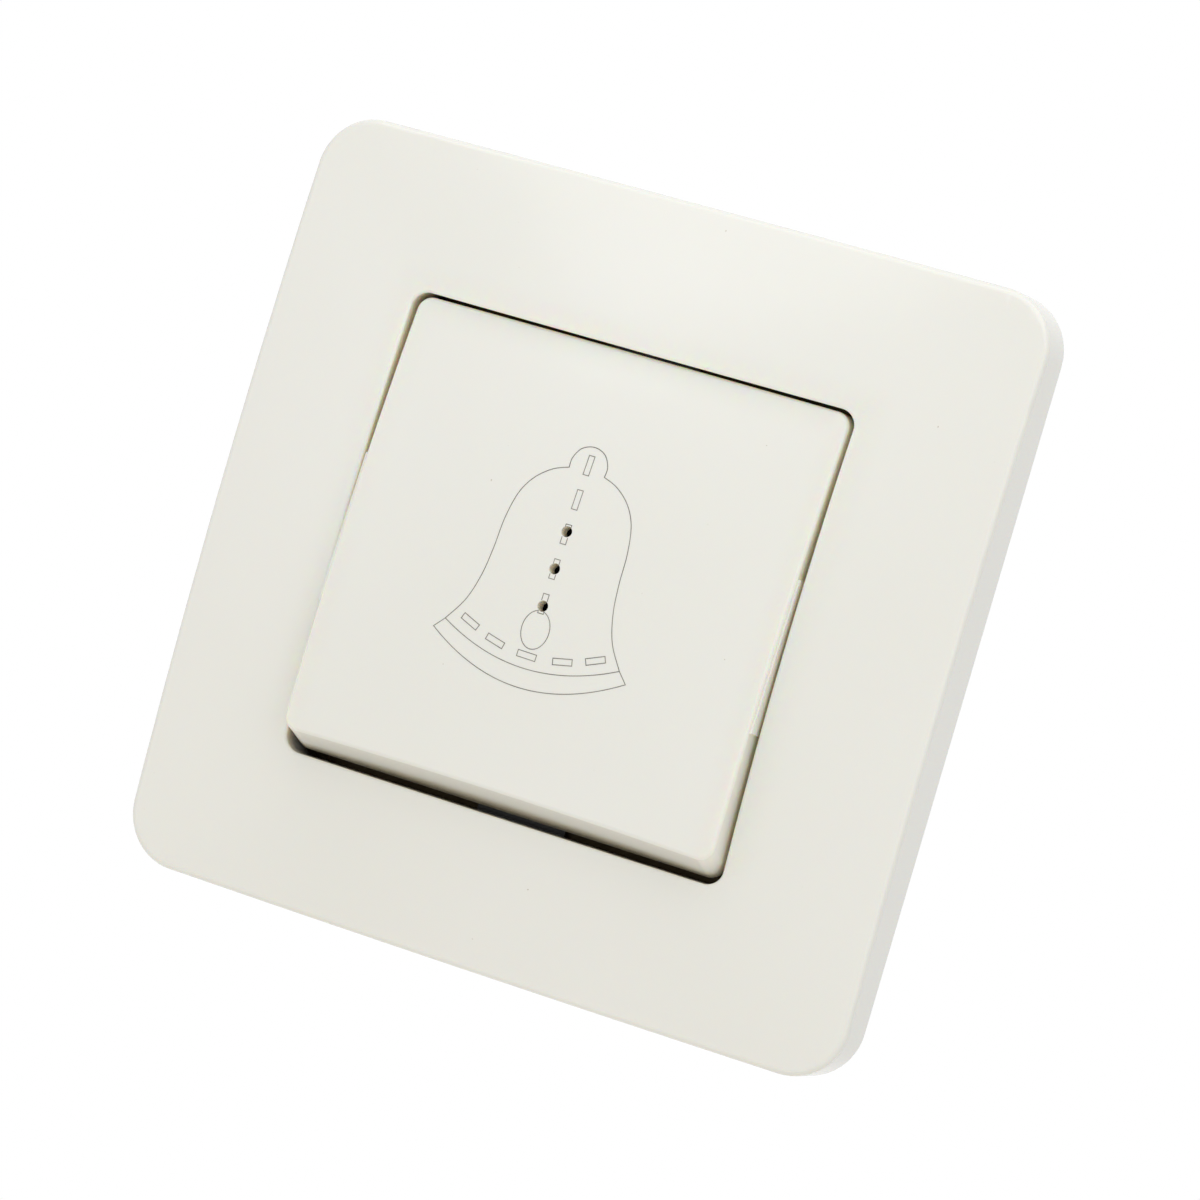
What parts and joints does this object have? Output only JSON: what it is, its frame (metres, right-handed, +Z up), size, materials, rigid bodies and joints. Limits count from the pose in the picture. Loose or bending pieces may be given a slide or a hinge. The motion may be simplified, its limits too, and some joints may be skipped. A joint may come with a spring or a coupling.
{
  "type": "doorbell push button",
  "caption": "Flush wall doorbell push: softly crowned square ivory frame round one sprung rocker key with an outlined bell and three small light holes, on a strap-mounted contact insert.",
  "frame": {"origin": "centre of the strap's back face, on the wall plane, midway between its two fixing slots", "axes": "+Y into the wall, so the front faces -Y; +Z up the wall; +X to the right seen from the front"},
  "size_m": [0.082, 0.0361, 0.082],
  "materials": {
    "ivory_plastic": "glossy moulded",
    "white_nylon": "satin moulded",
    "grey_plastic": "matt moulded",
    "zinc_steel": "zinc plated",
    "screw_steel": "zinc plated",
    "spring_steel": "drawn wire",
    "brass": "stamped",
    "bronze": "stamped",
    "silver": "satin",
    "lamp_glass": "clear",
    "resistor_paint": "lacquered",
    "tinned_wire": "tinned"
  },
  "bodies": {
    "housing": {"cover_frame": "ivory_plastic", "mounting_strap": "zinc_steel", "housing_cover": "grey_plastic", "housing_base": "grey_plastic", "housing_screws": "screw_steel", "return_spring": "spring_steel", "fixed_contact_right": "brass", "fixed_contact_left": "brass", "fixed_tips": "silver", "terminal_cage_right": "brass", "terminal_cage_left": "brass", "terminal_screws": "screw_steel", "lamp_holder": "grey_plastic", "indicator_lamp": "lamp_glass", "lamp_resistor": "resistor_paint", "lamp_leads": "tinned_wire"},
    "key": {"rocker_key": "ivory_plastic", "rocker_cradle": "white_nylon"},
    "plunger": {"contact_plunger": "white_nylon", "contact_bridge": "bronze", "bridge_tips": "silver", "contact_spring": "spring_steel"}
  },
  "joints": [
    {"name": "rocker_press", "type": "hinge", "parent": "housing", "child": "key", "pos_m": [0, -0.0046, 0], "axis": [1, 0, 0], "range_deg": [0, 9], "stiffness_Nm_per_rad": 0.19, "springref_deg": -12.03},
    {"name": "plunger_slide", "type": "slide", "parent": "housing", "child": "plunger", "axis": [0, 1, 0], "range_m": [0, 0.00189], "deforming": ["return_spring"]}
  ],
  "couplings": [
    {"joint": "plunger_slide", "follows": "rocker_press", "m_per_rad": 0.011988}
  ]
}
